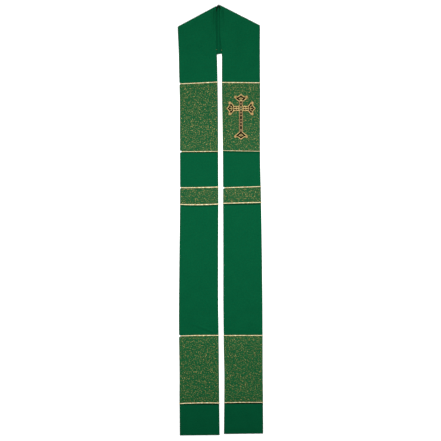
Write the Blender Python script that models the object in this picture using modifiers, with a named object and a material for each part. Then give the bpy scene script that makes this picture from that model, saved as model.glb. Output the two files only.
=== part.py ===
"""Clerical stole, laid flat.

Two long strips of cloth are joined by a mitred seam behind the neck. Each strip is folded over at
the shoulder, so that its neck end (the wing) lies flat under its hanging panel and the two wings
meet at the seam. Each strip is a neck piece, a panel and a darker end piece, joined under braids.
Brocade bands are laid on the panels, flat braids cover their edges, and one panel carries an
embroidered cross. A narrow tape makes a hanging loop at the seam.

Frame: metres, +Z up. The stole lies on the plane Z = 0 with its neck towards +Y, and the origin is
under the middle of its outline. Tables are in millimetres, and MM turns them into metres.
"""
import math
from collections import namedtuple

import bmesh
import bpy
from mathutils import Vector

MM = 0.001

# ---- cloth -------------------------------------------------------------------------------------
WALL = 1.6 * MM          # face cloth, interlining and backing together
GAP = 0.3 * MM           # between any two pieces
ROLL_RADIUS = 2.4 * MM   # middle of the wall where a strip rolls over at the shoulder
ROLL_STEPS = 8
ACROSS = 10              # faces across a strip

# ---- neck --------------------------------------------------------------------------------------
SEAM_X = -6.3 * MM           # the centre-back seam runs along Y here
SEAM_TOP = 698.4 * MM
SEAM_BOTTOM = 538.8 * MM
NECK_ROWS = 18               # rows of faces from the roll to the level line below the wings
NECK_LEVEL = 515.0 * MM
WING_ROWS = (0.2, 0.4, 0.6, 0.8, 0.92, 0.97, 1.0)  # share of the way from the roll to the seam
WING_KNEE = 0.92             # from here to the seam the wing's lower edge is nearly level
SETTLE_FROM = 2.0 * MM       # past the wing's lower edge, the panel starts to sink to the surface
SETTLE_OVER = 24.0 * MM
ROLL_EASES_OVER = 45.0 * MM  # the roll's fullness fades out over this much of the panel

# ---- hanging panels ----------------------------------------------------------------------------
PANEL_ROW = 45.0 * MM        # about the length of a face on the flat part of a panel

# The edges of each panel: the distance up the stole, then across it.
Edge = namedtuple("Edge", "y outer inner")
EDGES = {
    "left": (
        Edge(700, -138.5, -14.6),
        Edge(629, -138.5, -14.6),
        Edge(560, -136.0, -14.4),
        Edge(530, -135.0, -11.9),
        Edge(473, -134.0, -10.3),
        Edge(395, -131.8, -9.0),
        Edge(278, -131.4, -8.2),
        Edge(44, -131.3, -7.4),
        Edge(-112, -133.1, -8.0),
        Edge(-268, -134.6, -8.0),
        Edge(-350, -134.7, -6.8),
        Edge(-500, -132.6, -5.4),
        Edge(-580, -132.8, -4.6),
        Edge(-700, -131.9, -3.2),
    ),
    "right": (
        Edge(700, 127.7, -1.6),
        Edge(617, 127.7, -1.6),
        Edge(580, 127.6, 1.4),
        Edge(545, 127.6, 4.9),
        Edge(473, 128.1, 4.8),
        Edge(395, 128.3, 5.4),
        Edge(278, 128.0, 8.0),
        Edge(200, 128.2, 9.2),
        Edge(44, 131.6, 9.8),
        Edge(-112, 134.3, 10.2),
        Edge(-268, 135.7, 10.2),
        Edge(-420, 136.3, 11.6),
        Edge(-500, 136.8, 12.8),
        Edge(-580, 137.6, 12.6),
        Edge(-700, 138.4, 11.4),
    ),
}

# The outermost line of each shoulder roll: its height at the panel's outer and inner edge.
Line = namedtuple("Line", "outer inner")
ROLLS = {"left": Line(629.0, 695.1), "right": Line(632.9, 698.6)}

# Where each wing's lower edge turns level, just before the seam.
KNEES = {"left": (-13.0, 538.2), "right": (5.0, 541.0)}

# The ends of the panels.
HEMS = {"left": Line(-699.9, -698.7), "right": Line(-693.2, -694.7)}

# ---- braids and bands --------------------------------------------------------------------------
BRAID_WIDTH = 4.2 * MM
BRAID_HEIGHT = 1.7 * MM
BRAID_STEPS = 8              # faces over the round of a braid
BAND_WALL = 0.8 * MM

# The middle line of each braid, from the neck down.
BRAIDS = {
    "left": (
        Line(443.8, 451.3), Line(221.2, 223.4), Line(104.8, 107.4),
        Line(49.9, 50.9), Line(-376.2, -375.5), Line(-595.6, -594.6),
    ),
    "right": (
        Line(446.7, 448.7), Line(222.8, 224.4), Line(109.7, 105.8),
        Line(57.0, 54.4), Line(-374.6, -375.9), Line(-592.7, -594.0),
    ),
}
# Each brocade band lies between two braids, which are counted from the neck.
Band = namedtuple("Band", "name above below")
BANDS = (Band("upper", 0, 1), Band("middle", 2, 3), Band("lower", 4, 5))
FIRST_BRAID = 0              # the neck piece and the panel are joined under it
LOWEST_BRAID = 5             # the panel and the end piece are joined under it

# ---- cross -------------------------------------------------------------------------------------
CROSS_AT = Vector((66.5 * MM, 362.6 * MM))
CROSS_WALL = 2.0 * MM
POCKET_DEPTH = 0.8 * MM
CROSS_EASE = 0.5 * MM        # the rim's top edge is eased by this much
FINIAL = 26.0                # from an arm's tip back to where its end starts to spread
LOBE_STEPS = 7
SWEEP_STEPS = 5              # points of the hollow curve between a lobe and the tip

# The four arms, turned anticlockwise from +X: reach and half width of the arm, then the place of
# its side lobes out from the middle line and back from the tip, and their radius.
Arm = namedtuple("Arm", "turn reach half lobe_out lobe_back lobe_radius")
ARMS = (
    Arm(0, 48.6, 8.1, 17.6, 12.2, 5.1),
    Arm(90, 47.3, 6.3, 18.2, 10.6, 4.6),
    Arm(180, 48.3, 8.1, 17.6, 12.2, 5.1),
    Arm(270, 102.5, 6.3, 18.0, 11.0, 4.6),
)
# Sunk grounds inside the rim, as lozenges: place out from an arm's middle line, place along it,
# half length, half width and turn in degrees. In an arm's end the place is back from its tip.
Pocket = namedtuple("Pocket", "out along long wide turn")
TIP_POCKET = Pocket(0.0, 7.4, 1.9, 1.7, 0)
SIDE_POCKETS = (
    Pocket(9.0, 12.4, 3.9, 1.0, 105),
    Pocket(10.6, 18.0, 4.3, 1.2, 50),
    Pocket(3.2, 16.4, 2.6, 0.7, 25),
)
# Along the stem the place is up from the crossing, and along the crossbar it is to the right.
STEM_POCKETS = (
    Pocket(0.0, 20.0, 1.6, 1.9, 0), Pocket(0.0, 11.0, 1.6, 1.9, 0), Pocket(0.0, 0.0, 1.6, 1.6, 0),
    Pocket(0.0, -11.0, 1.6, 1.9, 0), Pocket(0.0, -20.0, 1.6, 1.9, 0), Pocket(0.0, -30.0, 2.9, 1.9, 0),
    Pocket(0.0, -41.0, 1.6, 1.9, 0), Pocket(0.0, -51.0, 1.6, 1.9, 0), Pocket(0.0, -62.0, 2.9, 1.9, 0),
)
CROSSBAR_PLACES = (-19.0, -11.0, 11.5, 19.5)
CROSSBAR_POCKET = Pocket(3.4, 0.0, 3.0, 1.0, 0)   # one at each place, on both sides of the middle

# ---- hanging loop ------------------------------------------------------------------------------
LOOP_CENTRE = Vector((-6.7 * MM, 694.8 * MM))
LOOP_TURN = 1.9 * MM
LOOP_ENDS = (Vector((-14.9 * MM, 681.0 * MM)), Vector((0.9 * MM, 685.2 * MM)))
LOOP_WIDTH = 3.2 * MM
LOOP_WALL = 1.4 * MM
LOOP_RISE = (-12.0 * MM, -4.4 * MM)   # between these places the tape climbs onto the right panel
LOOP_STEPS = 10

# ---- colours -----------------------------------------------------------------------------------
Finish = namedtuple("Finish", "colour roughness metallic")
FINISHES = {
    "green_cloth": Finish((0.003, 0.098, 0.038), 0.72, 0.0),
    "dark_green_cloth": Finish((0.002, 0.064, 0.025), 0.72, 0.0),
    "flecked_brocade": Finish((0.045, 0.130, 0.042), 0.55, 0.1),
    "gold_braid": Finish((0.55, 0.38, 0.18), 0.45, 0.3),
    "gold_embroidery": Finish((0.50, 0.32, 0.13), 0.42, 0.3),
    "black_tape": Finish((0.004, 0.008, 0.006), 0.80, 0.0),
}


# ---- small helpers -----------------------------------------------------------------------------
def remove_everything():
    for obj in list(bpy.data.objects):
        bpy.data.objects.remove(obj, do_unlink=True)


def collection(name):
    made = bpy.data.collections.new(name)
    bpy.context.scene.collection.children.link(made)
    return made


def material(name):
    finish = FINISHES[name]
    made = bpy.data.materials.get(name) or bpy.data.materials.new(name)
    made.use_nodes = True
    shader = made.node_tree.nodes["Principled BSDF"]
    shader.inputs["Base Color"].default_value = (*finish.colour, 1.0)
    shader.inputs["Roughness"].default_value = finish.roughness
    shader.inputs["Metallic"].default_value = finish.metallic
    return made


def new_object(name, shape, home, finish=None):
    """Make an object of a bmesh, and free the bmesh."""
    mesh = bpy.data.meshes.new(name)
    shape.to_mesh(mesh)
    shape.free()
    made = bpy.data.objects.new(name, mesh)
    home.objects.link(made)
    if finish:
        mesh.materials.append(material(finish))
        mesh.shade_smooth()
        mesh.set_sharp_from_angle(angle=math.radians(35))
    return made


def ease(share):
    """0 to 1, level at both ends."""
    share = min(max(share, 0.0), 1.0)
    return share * share * (3.0 - 2.0 * share)


def through(rows, column, y):
    """The value of a table's column at y, on a smooth curve through its rows."""
    last = len(rows) - 2
    k = next((i for i in range(last + 1) if y >= rows[i + 1].y * MM), last)
    slopes = []
    for i in (k, k + 1):
        low, high = rows[max(i - 1, 0)], rows[min(i + 1, last + 1)]
        slopes.append((getattr(high, column) - getattr(low, column)) / (high.y - low.y))
    start, end = rows[k], rows[k + 1]
    span = end.y - start.y
    t = (y / MM - start.y) / span
    value = (getattr(start, column) * (1 + 2 * t) * (1 - t) ** 2
             + getattr(end, column) * t * t * (3 - 2 * t)
             + slopes[0] * span * t * (1 - t) ** 2
             - slopes[1] * span * t * t * (1 - t))
    return value * MM


def grid_object(name, home, finish, rows, across, place, wall):
    """A wall of cloth: place(row, share) gives a point of its face, and it thickens inwards.

    Rows run along the piece, and the share runs across it from 0 to 1. Seen on the face, with the
    rows coming towards the viewer, the share grows to the right.
    """
    shape = bmesh.new()
    bmesh.ops.create_grid(shape, x_segments=across, y_segments=rows, size=0.5)
    for vert in shape.verts:
        vert.co = place(round((0.5 - vert.co.y) * rows), vert.co.x + 0.5)
    made = new_object(name, shape, home, finish)
    thicken = made.modifiers.new("wall", "SOLIDIFY")
    thicken.thickness = wall
    thicken.offset = -1.0
    return made


# ---- the strips --------------------------------------------------------------------------------
class Strip:
    """One side of the stole: where its edges, shoulder roll and wing lie."""

    def __init__(self, side):
        self.side = side
        self.edges = EDGES[side]
        roll = ROLLS[side]
        outer = Vector((self.edges[0].outer * MM, roll.outer * MM))
        inner = Vector((self.edges[0].inner * MM, roll.inner * MM))
        self.along = (inner - outer).normalized()
        self.up = Vector((-self.along.y, self.along.x))
        if self.up.y < 0:
            self.up.negate()
        self.reach = ROLL_RADIUS + WALL / 2
        drop = Vector((0.0, self.reach / self.up.y))
        self.axis = {"outer": outer - drop, "inner": inner - drop}
        self.slide = math.pi * ROLL_RADIUS * abs(self.along.y / self.along.x)
        self.knee = Vector(KNEES[side]) * MM
        self.wing_start = {edge: point + self.along * self.slide for edge, point in self.axis.items()}

    def edge_point(self, edge, y):
        return Vector((through(self.edges, edge, y), y))

    def wing_edge(self, share):
        """The wing's lower edge, from the roll to the seam."""
        bottom = Vector((self.seam_x(), SEAM_BOTTOM))
        if share <= WING_KNEE:
            return self.wing_start["outer"].lerp(self.knee, share / WING_KNEE)
        return self.knee.lerp(bottom, (share - WING_KNEE) / (1.0 - WING_KNEE))

    def seam_x(self):
        return SEAM_X + (GAP / 2 if self.side == "right" else -GAP / 2)

    def below_wing(self, point):
        """How far a point of the panel lies past the wing's lower edge."""
        start = self.wing_start["outer"]
        run = (self.knee - start).normalized()
        across = Vector((-run.y, run.x))
        if across.y > 0:
            across.negate()
        return (point - start).dot(across)

    def face_height(self, point):
        """The height of the panel's face over a point of the plane."""
        on_wing = 1.0 - ease((self.below_wing(point) - SETTLE_FROM) / SETTLE_OVER)
        below_roll = (self.axis["outer"] - point).dot(self.up)
        fullness = 1.0 - ease(below_roll / ROLL_EASES_OVER)
        lift = WALL + GAP
        return WALL + lift * on_wing + (2 * ROLL_RADIUS - lift) * fullness

    def on_face(self, flat, raised=0.0):
        return Vector((flat.x, flat.y, self.face_height(flat) + raised))


def panel_share(strip, share):
    """The grid's share as a share from the outer edge to the inner one."""
    return share if strip.side == "left" else 1.0 - share


def neck_object(strip, home):
    """Wing, shoulder roll and the top of the hanging panel, down to the first braid, as one wall."""
    join = BRAIDS[strip.side][FIRST_BRAID]
    level_rows = math.ceil((NECK_LEVEL - join.outer * MM) / PANEL_ROW)
    stops = [("wing", share) for share in reversed(WING_ROWS)]
    stops += [("roll", step / ROLL_STEPS) for step in range(ROLL_STEPS, 0, -1)]
    stops += [("neck", step / NECK_ROWS) for step in range(NECK_ROWS)]
    stops += [("level", step / level_rows) for step in range(level_rows + 1)]

    def edge_at(edge, kind, amount):
        axis = strip.axis[edge]
        if kind == "wing":
            if edge == "outer":
                flat = strip.wing_edge(amount)
            else:
                flat = strip.wing_start["inner"].lerp(Vector((strip.seam_x(), SEAM_TOP)), amount)
            return flat.to_3d()
        if kind == "roll":
            angle = math.pi * amount
            flat = axis + strip.along * (strip.slide * amount) + strip.up * (strip.reach * math.sin(angle))
            return Vector((flat.x, flat.y, strip.reach * (1.0 + math.cos(angle))))
        if kind == "neck":
            y = axis.y + (NECK_LEVEL - axis.y) * amount
        else:
            y = NECK_LEVEL + (getattr(join, edge) * MM + GAP / 2 - NECK_LEVEL) * amount
        return strip.edge_point(edge, y).to_3d()

    def place(row, share):
        kind, amount = stops[row]
        share = panel_share(strip, share)
        point = edge_at("outer", kind, amount).lerp(edge_at("inner", kind, amount), share)
        return strip.on_face(point.to_2d()) if kind in ("neck", "level") else point

    return grid_object(f"neck_{strip.side}", home, "green_cloth", len(stops) - 1, ACROSS, place, WALL)


def flat_piece(name, strip, home, finish, top, bottom, raised, wall):
    """A piece with the panel's own edges, from one slanting line to another, over its face."""
    length = (top.outer - bottom.outer) * MM
    rows = max(2, math.ceil(length / PANEL_ROW))

    def place(row, share):
        share = panel_share(strip, share)
        ends = []
        for edge in ("outer", "inner"):
            start, stop = getattr(top, edge) * MM, getattr(bottom, edge) * MM
            ends.append(strip.edge_point(edge, start + (stop - start) * row / rows))
        return strip.on_face(ends[0].lerp(ends[1], share), raised)

    return grid_object(name, home, finish, rows, ACROSS, place, wall)


def shifted(line, distance):
    """The line, moved up the stole by a distance in metres."""
    return Line(line.outer + distance / MM, line.inner + distance / MM)


def band_object(band, strip, home):
    beside = BRAID_WIDTH / 2 + GAP
    braids = BRAIDS[strip.side]
    top = shifted(braids[band.above], -beside)
    bottom = shifted(braids[band.below], beside)
    name = f"band_{band.name}_{strip.side}"
    raised = GAP + BAND_WALL
    return flat_piece(name, strip, home, "flecked_brocade", top, bottom, raised, BAND_WALL)


def panel_object(strip, home):
    """The hanging panel, from the first braid to the lowest."""
    braids = BRAIDS[strip.side]
    top = shifted(braids[FIRST_BRAID], -GAP / 2)
    bottom = shifted(braids[LOWEST_BRAID], GAP / 2)
    return flat_piece(f"panel_{strip.side}", strip, home, "green_cloth", top, bottom, 0.0, WALL)


def end_object(strip, home):
    """The darker piece from the lowest braid to the hem."""
    top = shifted(BRAIDS[strip.side][LOWEST_BRAID], -GAP / 2)
    name = f"end_{strip.side}"
    return flat_piece(name, strip, home, "dark_green_cloth", top, HEMS[strip.side], 0.0, WALL)


def braid_object(number, strip, home):
    """A half-round bar across the panel's face."""
    line = BRAIDS[strip.side][number]
    start = strip.edge_point("outer", line.outer * MM)
    run = strip.edge_point("inner", line.inner * MM) - start
    across = Vector((-run.y, run.x)).normalized()
    shape = bmesh.new()
    section = []
    for step in range(BRAID_STEPS + 1):
        angle = math.pi * step / BRAID_STEPS
        flat = start + across * (BRAID_WIDTH / 2 * math.cos(angle))
        section.append(shape.verts.new(strip.on_face(flat, GAP + BRAID_HEIGHT * math.sin(angle))))
    end = shape.faces.new(section)
    swept = bmesh.ops.extrude_face_region(shape, geom=[end])
    moved = [item for item in swept["geom"] if isinstance(item, bmesh.types.BMVert)]
    bmesh.ops.translate(shape, verts=moved, vec=run.to_3d())
    bmesh.ops.recalc_face_normals(shape, faces=shape.faces)
    return new_object(f"braid_{strip.side}_{number + 1}", shape, home, "gold_braid")


# ---- the cross ---------------------------------------------------------------------------------
def turned(turn):
    """An arm's own axes: out to its right, and along it from the crossing."""
    angle = math.radians(turn)
    along = Vector((math.cos(angle), math.sin(angle)))
    return Vector((along.y, -along.x)), along


def tangent_point(start, centre, radius, on_left):
    """Where a line from start touches a circle that lies on its left or right."""
    to_centre = centre - start
    lean = math.asin(radius / to_centre.length) * (-1 if on_left else 1)
    angle = math.atan2(to_centre.y, to_centre.x) + lean
    reach = math.sqrt(to_centre.length_squared - radius ** 2)
    return start + Vector((math.cos(angle), math.sin(angle))) * reach


def arc(centre, radius, start, stop, steps):
    angles = [start + (stop - start) * step / steps for step in range(steps + 1)]
    return [centre + Vector((math.cos(angle), math.sin(angle))) * radius for angle in angles]


def arm_outline(arm):
    """Half of an arm's outline, on its right, from its neck to its tip, in the arm's millimetres."""
    neck = Vector((arm.half, arm.reach - FINIAL))
    lobe = Vector((arm.lobe_out, arm.reach - arm.lobe_back))
    touch = tangent_point(neck, lobe, arm.lobe_radius, on_left=True) - lobe
    points = [neck] + arc(lobe, arm.lobe_radius, math.atan2(touch.y, touch.x), math.radians(158), LOBE_STEPS)
    start, tip = points[-1], Vector((0.7, arm.reach - 0.4))
    hollow = Vector((arm.lobe_out * 0.50, arm.reach - arm.lobe_back * 0.80))
    for step in range(1, SWEEP_STEPS + 1):
        t = step / SWEEP_STEPS
        points.append(start * (1 - t) ** 2 + hollow * 2 * t * (1 - t) + tip * t * t)
    return points


def cross_outline():
    outline = []
    for arm, following in zip(ARMS, ARMS[1:] + ARMS[:1]):
        out, along = turned(arm.turn)
        right = arm_outline(arm)
        left = [Vector((-point.x, point.y)) for point in reversed(right)]
        corner = Vector((-arm.half, following.half))
        for point in right + left + [corner]:
            outline.append(CROSS_AT + (out * point.x + along * point.y) * MM)
    return outline


def pockets():
    """Every sunk ground as its centre, its long and its short half axis, in metres."""
    def placed(pocket, turn, along_at):
        out, along = turned(turn)
        angle = math.radians(pocket.turn)
        centre = CROSS_AT + (out * pocket.out + along * along_at) * MM
        long_axis = out * math.sin(angle) + along * math.cos(angle)
        return centre, long_axis * pocket.long * MM, long_axis.orthogonal() * pocket.wide * MM

    for arm in ARMS:
        yield placed(TIP_POCKET, arm.turn, arm.reach - TIP_POCKET.along)
        for pocket in SIDE_POCKETS:
            for side in (1, -1):
                sided = pocket._replace(out=side * pocket.out, turn=side * pocket.turn)
                yield placed(sided, arm.turn, arm.reach - pocket.along)
    for pocket in STEM_POCKETS:
        yield placed(pocket, 90, pocket.along)
    for place in CROSSBAR_PLACES:
        for side in (1, -1):
            yield placed(CROSSBAR_POCKET._replace(out=side * CROSSBAR_POCKET.out), 0, place)


def prism(shape, outline, bottom, top):
    """Raise a flat outline into a closed prism."""
    face = shape.faces.new([shape.verts.new((point.x, point.y, bottom)) for point in outline])
    swept = bmesh.ops.extrude_face_region(shape, geom=[face])
    moved = [item for item in swept["geom"] if isinstance(item, bmesh.types.BMVert)]
    bmesh.ops.translate(shape, verts=moved, vec=(0, 0, top - bottom))


def cross_object(strip, home, cutters):
    bottom = strip.face_height(CROSS_AT) + GAP + BAND_WALL + GAP
    top = bottom + CROSS_WALL
    shape = bmesh.new()
    prism(shape, cross_outline(), bottom, top)
    bmesh.ops.recalc_face_normals(shape, faces=shape.faces)
    rim = [edge for edge in shape.edges if all(abs(vert.co.z - top) < GAP / 2 for vert in edge.verts)]
    bmesh.ops.bevel(shape, geom=rim, offset=CROSS_EASE, offset_type="OFFSET", affect="EDGES",
                    segments=1, profile=0.5, material=-1)
    made = new_object("cross_applique", shape, home, "gold_embroidery")

    sunk = bmesh.new()
    for centre, long_axis, short_axis in pockets():
        corners = [centre + long_axis * math.cos(a) + short_axis * math.sin(a)
                   for a in (math.radians(60 * step) for step in range(6))]
        prism(sunk, corners, top - POCKET_DEPTH, top + POCKET_DEPTH)
    bmesh.ops.recalc_face_normals(sunk, faces=sunk.faces)
    cutter = new_object("cross_pockets", sunk, cutters)
    cutter.hide_render = True
    cutter.display_type = "WIRE"
    cut = made.modifiers.new("sunk grounds", "BOOLEAN")
    cut.operation = "DIFFERENCE"
    cut.solver = "EXACT"
    cut.object = cutter
    return made


# ---- the hanging loop --------------------------------------------------------------------------
def loop_path():
    """Up from one end, round the turn, and down to the other end."""
    start, end = LOOP_ENDS
    first = tangent_point(start, LOOP_CENTRE, LOOP_TURN, on_left=False) - LOOP_CENTRE
    last = tangent_point(end, LOOP_CENTRE, LOOP_TURN, on_left=True) - LOOP_CENTRE
    turn = arc(LOOP_CENTRE, LOOP_TURN, math.atan2(first.y, first.x), math.atan2(last.y, last.x), LOOP_STEPS)
    return [start, start.lerp(turn[0], 0.5)] + turn + [turn[-1].lerp(end, 0.5), end]


def loop_object(home):
    """A narrow tape from the left wing, up round its fold, onto the right panel's corner."""
    path = loop_path()
    low = WALL + GAP + LOOP_WALL
    high = 2 * ROLL_RADIUS + WALL + GAP + LOOP_WALL

    def place(row, share):
        run = (path[min(row + 1, len(path) - 1)] - path[max(row - 1, 0)]).normalized()
        left = Vector((-run.y, run.x))
        flat = path[row] + left * (LOOP_WIDTH * (share - 0.5))
        rise = ease((path[row].x - LOOP_RISE[0]) / (LOOP_RISE[1] - LOOP_RISE[0]))
        return Vector((flat.x, flat.y, low + (high - low) * rise))

    return grid_object("hanging_loop", home, "black_tape", len(path) - 1, 2, place, LOOP_WALL)


# ---- the whole stole ---------------------------------------------------------------------------
def main():
    remove_everything()
    home = collection("clerical_stole")
    cutters = collection("cutters")
    for side in ("left", "right"):
        strip = Strip(side)
        neck_object(strip, home)
        panel_object(strip, home)
        end_object(strip, home)
        for band in BANDS:
            band_object(band, strip, home)
        for number in range(len(BRAIDS[side])):
            braid_object(number, strip, home)
        if side == "right":
            cross_object(strip, home, cutters)
    loop_object(home)


main()
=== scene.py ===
import math

import bmesh
import bpy
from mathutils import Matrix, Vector, noise


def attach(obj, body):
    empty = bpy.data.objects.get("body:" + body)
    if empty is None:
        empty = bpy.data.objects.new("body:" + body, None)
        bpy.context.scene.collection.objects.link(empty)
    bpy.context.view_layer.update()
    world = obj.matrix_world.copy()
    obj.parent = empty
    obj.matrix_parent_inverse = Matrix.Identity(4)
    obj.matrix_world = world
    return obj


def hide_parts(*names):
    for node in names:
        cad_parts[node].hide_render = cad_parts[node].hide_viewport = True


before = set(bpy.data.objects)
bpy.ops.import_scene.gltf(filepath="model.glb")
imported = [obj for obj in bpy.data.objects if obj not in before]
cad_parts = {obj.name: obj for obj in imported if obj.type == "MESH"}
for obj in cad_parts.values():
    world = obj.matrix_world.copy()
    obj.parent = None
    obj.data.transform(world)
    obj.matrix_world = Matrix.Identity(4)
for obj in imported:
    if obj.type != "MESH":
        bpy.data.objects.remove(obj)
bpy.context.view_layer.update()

mm = 0.001          # the tables below are in millimetres
sides = ("left", "right")
print("stole: the frame is loaded, with", len(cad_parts), "nodes")


# camera, light and floor
view = {
    "frameSide": 1433.25,        # what the square frame takes in on the cloth
    "middleY": -1.46,
    "lens": 100.0,
    "sensor": 36.0,
    "clothLevel": 2.0,
}
studio = {
    "worldColour": (1.0, 1.0, 1.0),
    "worldStrength": 0.38,
    "softboxAt": (0.0, 0.10, 1.20),      # it faces straight down
    "softboxWide": 1.6,
    "softboxDeep": 0.5,
    "softboxPower": 18.0,
    "keyTilt": 50.0,             # a soft, even light from beyond the neck, in degrees from upright
    "keySpread": 14.0,
    "keyStrength": 2.1,
    "floorSize": 14.0,
    "floorDrop": 0.1,            # just under the cloth, so the two never share a plane
    "floorColour": (0.93, 0.93, 0.93),
    "floorScale": 3.0,
    "floorMottle": 0.02,
    "floorRoughness": 0.9,
}


def placed(name, data):
    made = bpy.data.objects.new(name, data)
    bpy.context.scene.collection.objects.link(made)
    return made


def addCamera():
    camera = placed("camera", bpy.data.cameras.new("camera"))
    camera.data.lens = view["lens"]
    camera.data.sensor_width = view["sensor"]
    distance = view["frameSide"] * view["lens"] / view["sensor"]
    camera.location = (0.0, view["middleY"] * mm, (distance + view["clothLevel"]) * mm)
    bpy.context.scene.camera = camera


def addLight():
    world = bpy.data.worlds.new("studio")
    bpy.context.scene.world = world
    world.use_nodes = True
    background = world.node_tree.nodes["Background"]
    background.inputs["Color"].default_value = (*studio["worldColour"], 1.0)
    background.inputs["Strength"].default_value = studio["worldStrength"]
    softbox = placed("softbox", bpy.data.lights.new("softbox", "AREA"))
    softbox.data.shape = "RECTANGLE"
    softbox.data.size = studio["softboxWide"]
    softbox.data.size_y = studio["softboxDeep"]
    softbox.data.energy = studio["softboxPower"]
    softbox.location = studio["softboxAt"]
    key = placed("key", bpy.data.lights.new("key", "SUN"))
    key.data.energy = studio["keyStrength"]
    key.data.angle = math.radians(studio["keySpread"])
    key.rotation_euler = (-math.radians(studio["keyTilt"]), 0.0, 0.0)


class Value:
    # a node's output, ready for sums
    def __init__(self, nodes, socket):
        self.nodes = nodes
        self.socket = socket

    def put(self, operation, *others):
        return self.nodes.math(operation, self, *others)

    def __rsub__(self, other):
        return self.nodes.math("SUBTRACT", other, self)


def asSum(operation):
    return lambda value, *others: value.put(operation, *others)


for sign, operation in {"add": "ADD", "sub": "SUBTRACT", "mul": "MULTIPLY", "truediv": "DIVIDE",
                        "mod": "MODULO", "pow": "POWER", "abs": "ABSOLUTE", "floor": "FLOOR"}.items():
    setattr(Value, f"__{sign}__", asSum(operation))


class Nodes:
    # a short way to add nodes to a material or a group
    def __init__(self, tree):
        self.tree = tree

    def fill(self, node, inputs):
        # inputs come in order, or by name or number; a constant is set on the socket itself
        for key, value in inputs.items() if isinstance(inputs, dict) else enumerate(inputs):
            socket = node.inputs[key]
            if isinstance(value, Value):
                self.tree.links.new(value.socket, socket)
            else:
                socket.default_value = (*value, 1.0) if socket.type == "RGBA" else value

    def add(self, kind, inputs=(), **settings):
        made = self.tree.nodes.new("ShaderNode" + kind)
        for name, value in settings.items():
            setattr(made, name, value)
        self.fill(made, inputs)
        return [Value(self, socket) for socket in made.outputs]

    def named(self, kind, inputs=(), **settings):
        # the same, with the outputs by name
        return {value.socket.name: value for value in self.add(kind, inputs, **settings)}

    def group(self, groupName, **values):
        return self.named("Group", values, node_tree=groups[groupName])

    def math(self, operation, *values):
        return self.add("Math", values, operation=operation)[0]

    def scaled(self, vector, factors):
        return self.add("VectorMath", (vector, factors), operation="MULTIPLY")[0]

    def shaded(self, colour, amount):
        return self.add("VectorMath", {"Vector": colour, "Scale": amount}, operation="SCALE")[0]

    def blend(self, amount, first, second):
        return self.add("Mix", {0: amount, 6: first, 7: second}, data_type="RGBA")[2]

    def window(self, value, low, high):
        return self.add("MapRange", (value, low, high, 0.0, 1.0), interpolation_type="SMOOTHSTEP")[0]

    def speckle(self, vector, scale, detail=2.0, distortion=0.0):
        return self.add("TexNoise", {
            "Vector": vector, "Scale": scale, "Detail": detail, "Distortion": distortion})[0]

    def relief(self, height, depth, strength):
        return self.add("Bump", {"Height": height, "Distance": depth, "Strength": strength})[0]


def newGroup(name, inputs, outputs):
    tree = bpy.data.node_groups.new(name, "ShaderNodeTree")
    nodes = Nodes(tree)
    sockets = [(socketName, "INPUT") for socketName in ("Vector", *inputs)]
    sockets += [(socketName, "OUTPUT") for socketName in outputs]
    for socketName, direction in sockets:
        kind = "NodeSocketVector" if socketName == "Vector" else "NodeSocketFloat"
        tree.interface.new_socket(name=socketName, in_out=direction, socket_type=kind)
    given = {socket.name: Value(nodes, socket) for socket in tree.nodes.new("NodeGroupInput").outputs}
    return nodes, given, tree.nodes.new("NodeGroupOutput")


weaving = {
    "warpGrain": (2200.0, 45.0, 1.0),    # long, thin noise for the slubs in the warp, then the weft
    "weftGrain": (60.0, 2200.0, 1.0),
    "crossing": 0.5,
    "shade": 0.9,
    # painted light: the raised threads are made lighter by this much
    "paintedHeightLight": 0.16,
}


def buildWeaveGroup():
    # warp and weft passing over and under each other, with uneven threads
    nodes, given, end = newGroup("plain weave", ("Pitch", "Slub"), ("Height", "Shade"))
    place = given["Vector"]
    warp, weft = [(along / given["Pitch"] * math.pi).put("SINE")
                  for along in nodes.add("SeparateXYZ", (place,))[:2]]
    crossing = warp * weft * weaving["crossing"]
    height = (abs(warp) * 0.5 + crossing).put("MAXIMUM", abs(weft) * 0.5 - crossing)
    slubs = [nodes.speckle(nodes.scaled(place, weaving[grain]), 1.0, 1.0)
             for grain in ("warpGrain", "weftGrain")]
    shade = (slubs[0] + slubs[1] - 1.0) * given["Slub"] + weaving["shade"]
    # the shade adds painted light on the raised threads to the slubs' tone
    nodes.fill(end, {"Height": height, "Shade": height * weaving["paintedHeightLight"] + shade})
    return nodes.tree


mottling = {"detail": 3.0, "mask": (0.32, 0.68)}


def buildMottleGroup():
    # soft, broad unevenness of the dye and the nap
    nodes, given, end = newGroup("soft mottle", ("Scale", "Amount"), ("Shade", "Mask"))
    broad = nodes.speckle(given["Vector"], given["Scale"], mottling["detail"])
    nodes.fill(end, {
        "Shade": (broad - 0.5) * given["Amount"] + 1.0, "Mask": nodes.window(broad, *mottling["mask"])})
    return nodes.tree


# painted light: each thread is made lighter along its ridge
laying = {"crown": 0.6, "shade": 0.86, "paintedRidgeLight": 0.2}


def buildThreadGroup():
    # fine parallel threads across a padded stitch or along a twisted strand
    nodes, given, end = newGroup("laid threads", ("Pitch", "Slant", "Uneven"), ("Height", "Shade"))
    x, y = nodes.add("SeparateXYZ", (given["Vector"],))[:2]
    count = (x * given["Slant"] + y) / given["Pitch"]
    ridge = abs((count * math.pi).put("SINE"))
    each = nodes.add("TexWhiteNoise", {"W": math.floor(count)}, noise_dimensions="1D")[0]
    shade = (each - 0.5) * given["Uneven"] + laying["shade"]
    # painted light along each thread's ridge, added to its own uneven tone
    nodes.fill(end, {"Height": ridge ** laying["crown"], "Shade": ridge * laying["paintedRidgeLight"] + shade})
    return nodes.tree


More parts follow.
